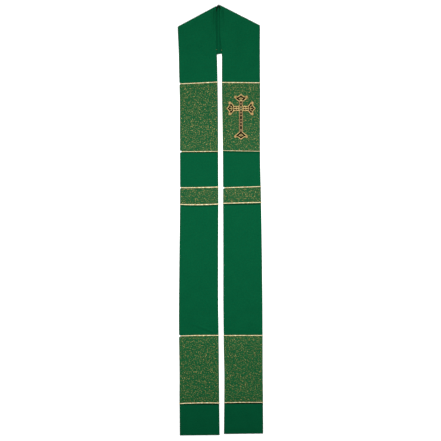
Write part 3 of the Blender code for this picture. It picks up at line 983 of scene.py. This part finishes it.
# braids: three strands of gold thread, plaited flat
braid = {
    "width": 3.4,
    "height": 1.7,
    "period": 8.4,            # length of one full turn of a strand
    "startsLater": 0.37,      # how far on in its turn each braid starts after the one above
    "swing": 0.99,            # how far a strand runs to either side
    "hop": 0.40,
    "strandWide": 0.70,
    "strandTall": 0.45,
    "step": 0.62,
    "around": 6,
    "turnDown": 1.5,          # the ends are turned down over the cloth's edge by this radius
    "pulled": {               # how tightly each one is plaited, against the sizes above
        "left": (0.78, 0.64, 0.88, 0.94, 0.80, 0.82),
        "right": (0.80, 0.50, 0.80, 0.84, 0.75, 0.62),
    },
}


def addBraid(strip, number):
    line = braidLines[strip.side][number]
    start, end = strip.lineEnds(line)
    run = (end - start).normalized()
    forward = run.to_3d()
    length = (end - start).length
    side = Vector((-run.y, run.x, 0.0))
    bend = braid["turnDown"]
    spare = bend * math.pi / 2
    count = round((length + 2 * spare) / braid["step"])
    lift = cloth["gap"] / 2 + braid["height"] / 2
    pulled = braid["pulled"][strip.side][number]
    strands = [[], [], []]
    for step in range(count + 1):
        s = -spare + (length + 2 * spare) * step / count
        inside = min(max(s, 0.0), length)
        angle = (s - inside) / bend
        base = strip.surface(start + run * inside + Vector((0.0, bowAt(line, inside / length))), lift)
        centre = base + forward * (bend * math.sin(angle)) - upright * (bend * (1 - math.cos(angle)))
        up = upright * math.cos(angle) + forward * math.sin(angle)
        for k, strand in enumerate(strands):
            phase = 2 * math.pi * (s / braid["period"] + k / 3 + braid["startsLater"] * number)
            swing = side * (braid["swing"] * pulled * math.sin(phase))
            hop = up * (braid["hop"] * math.sin(2 * phase))
            wide = braid["strandWide"] * pulled
            strand.append(station(centre + swing + hop, side, wide, braid["strandTall"], up=up))
    addTubes(f"plait_{strip.side}_{number + 1}", [(strand, braid["around"]) for strand in strands],
             ("braid gold",), (f"braid_{strip.side}_{number + 1}",))


braidShadowThread = {
    # a dark thread laid below each braid, painted shadow that stands in for the shade the braid casts: half
    # width at the outer and inner end, distance below
    "left": ((0.24, 0.24, 1.65), (0.70, 1.20, 3.40), (0.22, 0.22, 1.80),
             (0.50, 0.95, 5.20), (0.24, 0.24, 1.70), (0.80, 1.80, 5.20)),
    "right": ((0.24, 0.24, 1.70), (0.60, 0.55, 5.00), (0.24, 0.24, 1.70),
              (1.20, 1.30, 5.20), (0.26, 0.26, 1.65), (1.70, 1.70, 3.80)),
    "tall": 0.22,
    "raised": 0.05,
    "step": 1.5,
    "around": 8,
    "leastWide": 0.9,         # the width wavers from this share upwards
    "waver": 0.25,
    "waverCount": 14.0,
    "taper": 0.06,
    "blunt": 0.02,
}


# painted shadow: dark threads laid where the braids cast shade, on the cloth below them and in the gap
# beside the band
def addBraidShadowThreads(strip):
    tubes = []
    for number, (outerWide, innerWide, below) in enumerate(braidShadowThread[strip.side]):
        line = braidLines[strip.side][number]
        start, end = strip.lineEnds(line)
        count = round((end - start).length / braidShadowThread["step"])
        across = Vector((start.y - end.y, end.x - start.x, 0.0)).normalized()
        across *= 1 if across.y < 0 else -1
        stations = []
        for k in range(1, count):
            share = k / count
            spot = Vector((share * braidShadowThread["waverCount"], number, 5.0))
            wide = outerWide + (innerWide - outerWide) * share
            wide *= braidShadowThread["leastWide"] + braidShadowThread["waver"] * noise.noise(spot)
            ends = ease(share / braidShadowThread["taper"]) * ease((1.0 - share) / braidShadowThread["taper"])
            wide *= math.sqrt(ends + braidShadowThread["blunt"])
            point = start.lerp(end, share) + across.xy * below
            point.y += bowAt(line, share)
            centre = strip.surface(point, braidShadowThread["raised"])
            stations.append(station(centre, across, wide, braidShadowThread["tall"]))
        tubes.append((stations, braidShadowThread["around"]))
    addTubes(f"braid_shadow_thread_{strip.side}", tubes, ("braid shadow dark",))


# the cross: padded gold stitches on a dark ground
cross = {
    "at": (66.5, 362.6),
    "ground": 0.9,            # height of the dark ground
    "groundInsetPaintedShadow": -0.35,     # the dark ground reaches past the gold rim: a narrow dark edge of painted shadow round the cross
    "sharpAngle": 40,
    "spacing": 2.0,           # of the points round the outline
    "sharpest": 0.62,         # limits how far a sharp corner moves when the outline is inset
    "cordInset": 0.45,
    "cordWide": 0.5,
    "cordTall": 0.805,
    "rimInset": 1.95,
    "rimWide": 1.05,
    "rimTall": 1.15,
    "railWide": 1.45,         # the rim along the stem
    "stemFrom": -78.0,
    "finial": 26.0,           # the length of an arm's spread end
    "tip": (0.7, 0.4),        # half width of an arm's tip, and how far it is cut back
    "hollow": (0.50, 0.80),   # where the edge swings in between tip and lobe, as shares of the lobe's place
    "lobeTo": 158.0,          # where a lobe's arc ends, in degrees
    "lobeSteps": 9,
    "sweepSteps": 8,
    "around": 10,
    "below": 0.5,             # how far a stitch goes into what is under it
    "thinTall": 0.35,         # a thin stitch stands lower: this share, and its half width
    "clear": 0.5,             # the stem's rim starts this far from the crossbar
    "intoTip": 3.0,           # and runs this far into the upper arm's spread end
    "lobeMargin": 0.3,
}
leaf = {
    "tall": 1.0, "steps": 12, "narrowest": 0.12,
    "from": 0.04, "over": 0.92, "fullness": 0.7,      # the part of a sine that shapes its width
}
lobeStitch = {
    "tall": 1.35, "steps": 10, "leans": (0.35, 0.9),
    "back": 0.9, "forward": 0.85, "wide": 0.86, "end": 0.03,      # as shares of the lobe's radius
}
# turn, reach and half width of each arm, then its side lobes: out, back from the tip, radius
arms = (
    (0, 48.6, 8.1, 17.6, 12.2, 5.1),
    (90, 47.3, 6.3, 18.2, 10.6, 4.6),
    (180, 48.3, 8.1, 17.6, 12.2, 5.1),
    (270, 102.5, 6.3, 18, 11, 4.6),
)
# the leaves in each arm's end: start out and back from the tip, end out and back, half width
leaves = {
    "stem": ((0, 21, 0, 9.6, 1.5), (1.9, 18.4, 7, 12.6, 1.5), (-1.9, 18.4, -7, 12.6, 1.5)),
    "bar": ((0, 22.5, 0, 9.8, 1.35), (2.4, 20.4, 8.8, 13.4, 1.4), (-2.4, 20.4, -8.8, 13.4, 1.4)),
}
rails = {
    # bars across the stem: place up from the crossing, half width along it
    "rungs": (
        (24.6, 2.0), (15.0, 2.6), (-14.0, 2.4), (-23.4, 2.1), (-36.5, 2.1), (-45.6, 2.5),
        (-55.7, 2.2), (-68.6, 1.8), (-73.2, 2.2),
    ),
    "bars": (-24.0, -15.0, -8.0, 8.0, 15.6, 24.2),      # across the crossbar
    "barWide": 0.95,
    "barTall": 0.85,
    "barInset": 1.2,
    "middle": (5.0, 24.5),    # along the crossbar's middle, from and to
    "midWide": 1.15,
    "midTall": 0.75,
    "midSteps": 14,
}
boss = {
    "radius": (4.6, 4.9), "wide": 1.8, "tall": 1.35, "raised": 0.2, "steps": 36,
    "centre": 3.0, "centreWide": 1.8, "centreTall": 0.7, "centreSteps": 8, "centreEnd": 0.02,
}
crossBase = cloth["gap"] * 2 + bands["wall"]
crossTop = crossBase + cross["ground"]


def onPanel(point, raised):
    return strips["right"].surface(Vector(cross["at"]) + point, raised)


def pointAt(angle):
    return Vector((math.cos(angle), math.sin(angle)))


def turned(turn):
    along = pointAt(math.radians(turn))
    return Vector((along.y, -along.x)), along


def tangentPoint(start, centre, radius):
    # where a line from start touches a circle on its left side
    toCentre = centre - start
    lean = math.asin(radius / toCentre.length)
    reach = math.sqrt(toCentre.length_squared - radius ** 2)
    return start + pointAt(math.atan2(toCentre.y, toCentre.x) - lean) * reach


def arc(centre, radius, start, stop, steps):
    return [centre + pointAt(start + (stop - start) * step / steps) * radius for step in range(steps + 1)]


def armOutline(arm):
    reach, half, lobeOut, lobeBack, lobeRadius = arm[1:]
    neck = Vector((half, reach - cross["finial"]))
    lobe = Vector((lobeOut, reach - lobeBack))
    touch = tangentPoint(neck, lobe, lobeRadius) - lobe
    points = [neck, neck.lerp(lobe + touch, 0.5)]
    points += arc(lobe, lobeRadius, math.atan2(touch.y, touch.x), math.radians(cross["lobeTo"]),
                  cross["lobeSteps"])
    start = points[-1]
    tip = Vector((cross["tip"][0], reach - cross["tip"][1]))
    hollow = Vector((lobeOut * cross["hollow"][0], reach - lobeBack * cross["hollow"][1]))
    for step in range(1, cross["sweepSteps"] + 1):
        t = step / cross["sweepSteps"]
        points.append(start * (1 - t) ** 2 + hollow * 2 * t * (1 - t) + tip * t * t)
    return points


def crossOutline():
    # flat points about the crossing, anticlockwise
    outline = []
    for arm, following in zip(arms, arms[1:] + arms[:1]):
        out, along = turned(arm[0])
        right = armOutline(arm)
        left = [Vector((-point.x, point.y)) for point in reversed(right)]
        corner = Vector((-arm[2], following[2]))
        for point in right[:-1] + [Vector((0.0, arm[1]))] + left[1:] + [corner]:
            outline.append(out * point.x + along * point.y)
    return outline


def insetLoop(points, distance):
    # moves every corner of a loop inwards by a distance
    moved = []
    for before, point, after in zip(points[-1:] + points[:-1], points, points[1:] + points[:1]):
        arriving = (point - before).normalized()
        leaving = (after - point).normalized()
        inward = Vector((-arriving.y - leaving.y, arriving.x + leaving.x)).normalized()
        opening = max(inward.dot(Vector((-arriving.y, arriving.x))), cross["sharpest"])
        moved.append(point + inward * (distance / opening))
    return moved


def resampled(points, spacing):
    # the same closed loop with points at an even spacing
    out = []
    for start, end in zip(points, points[1:] + points[:1]):
        steps = max(1, round((end - start).length / spacing))
        out += [start.lerp(end, step / steps) for step in range(steps)]
    return out


def padded(flatPoints, widths, tall, raised=0.0, closed=False):
    # a padded satin stitch along flat points of the cross, with one half width or one at each point
    count = len(flatPoints)
    if not isinstance(widths, list):
        widths = [widths] * count
    stations = []
    for k, (point, wide) in enumerate(zip(flatPoints, widths)):
        ahead = flatPoints[(k + 1) % count if closed else min(k + 1, count - 1)]
        behind = flatPoints[k - 1 if closed else max(k - 1, 0)]
        run = (ahead - behind).normalized()
        centre = onPanel(point, crossTop + raised)
        stands = tall * min(1.0, cross["thinTall"] + wide)
        stations.append(station(centre, Vector((run.y, -run.x, 0.0)), wide, stands, cross["below"]))
    if closed:
        stations.append(stations[0])
    return stations, cross["around"], closed


def barPoints(start, end, steps=6):
    return [Vector(start).lerp(Vector(end), step / steps) for step in range(steps + 1)]


def leafWidths(count, wide):
    # pointed at both ends
    angles = [math.pi * (leaf["from"] + leaf["over"] * k / (count - 1)) for k in range(count)]
    return [max(leaf["narrowest"], wide * math.sin(angle) ** leaf["fullness"]) for angle in angles]


def roundWidths(count, wide, end):
    # round at both ends
    shares = [2 * k / (count - 1) - 1 for k in range(count)]
    return [wide * math.sqrt(max(end, 1 - share ** 2)) for share in shares]


def onStem(point):
    # along the stem and the short arm above the crossing, away from the ends and the crossbar
    apart = abs(point.y) > arms[0][2] + cross["clear"]
    top = arms[1][1] - cross["finial"] + cross["intoTip"]
    return abs(point.x) < arms[1][2] and apart and cross["stemFrom"] < point.y < top


def onLobe(point):
    # on one of the round lobes beside the arms' tips
    for turn, reach, _, lobeOut, lobeBack, lobeRadius in arms:
        out, along = turned(turn)
        inArm = Vector((abs(point.dot(out)), point.dot(along)))
        if (inArm - Vector((lobeOut, reach - lobeBack))).length < lobeRadius + cross["lobeMargin"]:
            return True
    return False


def addCrossGround(outline):
    shape = bmesh.new()
    layer = shape.loops.layers.uv.new("cloth")
    # the ground reaches out past the rim, as painted shadow
    corners = [shape.verts.new(point.to_3d()) for point in insetLoop(outline, cross["groundInsetPaintedShadow"])]
    swept = bmesh.ops.extrude_face_region(shape, geom=[shape.faces.new(corners)])
    raised = [item for item in swept["geom"] if isinstance(item, bmesh.types.BMVert)]
    bmesh.ops.translate(shape, verts=raised, vec=upright)
    bmesh.ops.recalc_face_normals(shape, faces=shape.faces)
    bmesh.ops.triangulate(shape, faces=shape.faces, ngon_method="EAR_CLIP")
    ordered = sorted(shape.faces, key=lambda face: tuple(face.calc_center_median()))
    shape.faces.sort(key=ordered.index)      # so the faces come in the same order each run
    layUv(shape.faces, layer, {vert: vert.co.xy * mm for vert in shape.verts})
    for vert in shape.verts:
        vert.co = onPanel(vert.co.xy, crossTop if vert.co.z > 0.5 else crossBase)
    keepPiece("cross_ground", shape, ("dark ground",), ("cross_applique",),
              cross["sharpAngle"])


def addCrossGold(outline):
    # the rim, the bars across the stem and the crossbar, and the crossbar's middle line
    rim = insetLoop(outline, cross["rimInset"])
    widths = [cross["railWide"] if onStem(point) else cross["rimWide"] for point in rim]
    tubes = [padded(rim, widths, cross["rimTall"], closed=True)]
    half = arms[1][2] - rails["barInset"]
    bars = [((-half, place), (half, place), wide) for place, wide in rails["rungs"]]
    half = arms[0][2] - rails["barInset"]
    bars += [((place, -half), (place, half), rails["barWide"]) for place in rails["bars"]]
    tubes += [padded(barPoints(start, end), wide, rails["barTall"]) for start, end, wide in bars]
    start, end = rails["middle"]
    for direction in (-1, 1):
        points = barPoints((direction * start, 0), (direction * end, 0), rails["midSteps"])
        tubes.append(padded(points, rails["midWide"], rails["midTall"]))

    def choose(spot):
        spot = spot - Vector(cross["at"])
        return 1 if onStem(spot) else 2 if onLobe(spot) else 0

    # the stem takes the gold in painted shade
    finishes = ("stitch gold", "stitch gold in painted shade", "stitch rose")
    addTubes("cross_gold", tubes, finishes, choose=choose)


def addCrossCord(outline):
    cord = padded(insetLoop(outline, cross["cordInset"]), cross["cordWide"], cross["cordTall"], closed=True)
    circle = arc(Vector((0, 0)), 1, 0, 2 * math.pi, boss["steps"])[:-1]
    ring = [Vector((point.x * boss["radius"][0], point.y * boss["radius"][1])) for point in circle]
    ring = padded(ring, boss["wide"], boss["tall"], boss["raised"], True)
    addTubes("cross_cord", (cord, ring), ("stitch straw",))


def addCrossEnds():
    # leaves in each arm's end, a round stitch on each lobe, and the centre boss
    leafTubes = []
    lobeTubes = []
    for turn, reach, _, lobeOut, lobeBack, lobeRadius in arms:
        out, along = turned(turn)
        for startOut, startBack, endOut, endBack, wide in leaves["stem" if turn % 180 else "bar"]:
            start = out * startOut + along * (reach - startBack)
            points = barPoints(start, out * endOut + along * (reach - endBack), leaf["steps"])
            leafTubes.append(padded(points, leafWidths(len(points), wide), leaf["tall"]))
        for direction in (-1, 1):
            centre = out * (direction * lobeOut) + along * (reach - lobeBack)
            sideways, onward = lobeStitch["leans"]
            towards = (out * (direction * sideways) + along * onward).normalized() * lobeRadius
            start = centre - towards * lobeStitch["back"]
            points = barPoints(start, centre + towards * lobeStitch["forward"], lobeStitch["steps"])
            widths = roundWidths(len(points), lobeRadius * lobeStitch["wide"], lobeStitch["end"])
            lobeTubes.append(padded(points, widths, lobeStitch["tall"]))
    points = barPoints((-boss["centre"], 0), (boss["centre"], 0), boss["centreSteps"])
    widths = roundWidths(len(points), boss["centreWide"], boss["centreEnd"])
    centreTubes = [padded(points, widths, boss["centreTall"])]
    addTubes("cross_leaves", leafTubes, ("stitch leaf",))
    addTubes("cross_lobes", lobeTubes, ("stitch rose",))
    addTubes("cross_centre", centreTubes, ("stitch green",))


tape = {
    # x, y and width, from under the left panel, round the blunt fold, onto the right panel
    "corners": ((-15.2, 677.2, 4.2), (-9.6, 694.9, 4.2), (-5.2, 697.3, 3.2), (-0.3, 685.4, 2.9)),
    "steps": 8,
    "around": 16,
    "wall": 1.4,
    "climb": (-12.0, -4.4),   # between these places the tape climbs onto the right panel
}


def addLoop():
    # a narrow tape, folded at the apex, with a leg down on either side
    corners = [Vector(row[0:2]) for row in tape["corners"]]
    widths = [row[2] for row in tape["corners"]]
    runs = [(after - before).normalized() for before, after in zip(corners, corners[1:])]
    low = cloth["wall"] + cloth["gap"] + tape["wall"] / 2
    climbFrom, climbTo = tape["climb"]
    stations = []
    for k, run in enumerate(runs):
        for step in range(tape["steps"] + (k == len(runs) - 1)):
            share = step / tape["steps"]
            point = corners[k].lerp(corners[k + 1], share)
            wide = (widths[k] + (widths[k + 1] - widths[k]) * share) / 2
            facing = run
            if step == 0 and k > 0:
                facing = (runs[k - 1] + run).normalized()
                wide /= facing.dot(run)
            level = low + 2 * cloth["rollRadius"] * ease((point.x - climbFrom) / (climbTo - climbFrom))
            side = Vector((facing.y, -facing.x, 0.0))
            stations.append(station(Vector((point.x, point.y, level)), side, wide, tape["wall"] / 2))
    addTubes("tape_loop", [(stations, tape["around"])], ("black tape",), ("hanging_loop",))


seam = {
    "wide": 1.5, "tall": 0.55, "below": 0.3, "step": 2.0, "around": 10,
    "inset": 1.0, "taper": 7.0, "blunt": 0.06,
    "waver": 0.25, "waverScale": 11.0,
    "least": 0.85, "swell": 0.3, "swellScale": 7.0,      # its height wavers from this share upwards
}


def addSeam():
    # the pressed ridge where the two strips meet behind the neck
    bottom = cloth["seamBottom"] + seam["inset"]
    top = min(cloth["seamTop"].values()) - seam["inset"]
    count = round((top - bottom) / seam["step"])
    stations = []
    for k in range(count + 1):
        y = bottom + (top - bottom) * k / count
        waver = seam["waver"] * noise.noise(Vector((0.0, y / seam["waverScale"], 5.0)))
        swell = seam["swell"] * noise.noise(Vector((3.0, y / seam["swellScale"], 1.0)))
        taper = max(seam["blunt"], ease(min(y - bottom, top - y) / seam["taper"]))
        centre = Vector((cloth["seamX"] + waver, y, cloth["wall"]))
        tall = seam["tall"] * (seam["least"] + swell) * taper
        stations.append(station(centre, Vector((1.0, 0.0, 0.0)), seam["wide"] * taper, tall, seam["below"]))
    addTubes("back_seam", [(stations, seam["around"])], ("plain cloth",))


tacks = {
    "places": {"left": (-12.4, 553.4, 8.0), "right": (3.4, 551.9, -6.0)},      # x, y, turn in degrees
    "length": 1.7,
    "thread": 0.19,
    "apart": 0.285,
    "rise": 0.35,
    "steps": 8,
    "around": 6,
}


def addTacks():
    # small bar tacks hold the panels' inner edges to the wings
    tubes = []
    for side, (x, y, turn) in tacks["places"].items():
        across, run = turned(turn)
        for row in (1, 0, -1):
            stations = []
            for k in range(tacks["steps"] + 1):
                s = k / tacks["steps"] - 0.5
                point = Vector((x, y)) + run * (s * tacks["length"]) + across * (row * tacks["apart"])
                centre = strips[side].surface(point, tacks["rise"] * math.cos(math.pi * s))
                stations.append(station(centre, -across.to_3d(), tacks["thread"], tacks["thread"]))
            tubes.append((stations, tacks["around"]))
    addTubes("bar_tacks", tubes, ("stitch gold",))


bpy.context.scene.view_settings.view_transform = "Standard"
addCamera()
addLight()
addFloor()
for side, strip in strips.items():
    addStrip(strip)
    addEnd(strip)
    for bandName in bands["places"]:
        addBand(strip, bandName)
    for number in range(len(braidLines[side])):
        addBraid(strip, number)
    addBraidShadowThreads(strip)
    print("stole: the", side, "side is made")
crossEdge = resampled(crossOutline(), cross["spacing"])
addCrossGround(crossEdge)
addCrossGold(crossEdge)
addCrossCord(crossEdge)
addCrossEnds()
addLoop()
addSeam()
addTacks()
print("stole: the cross, the loop and the seam are made")
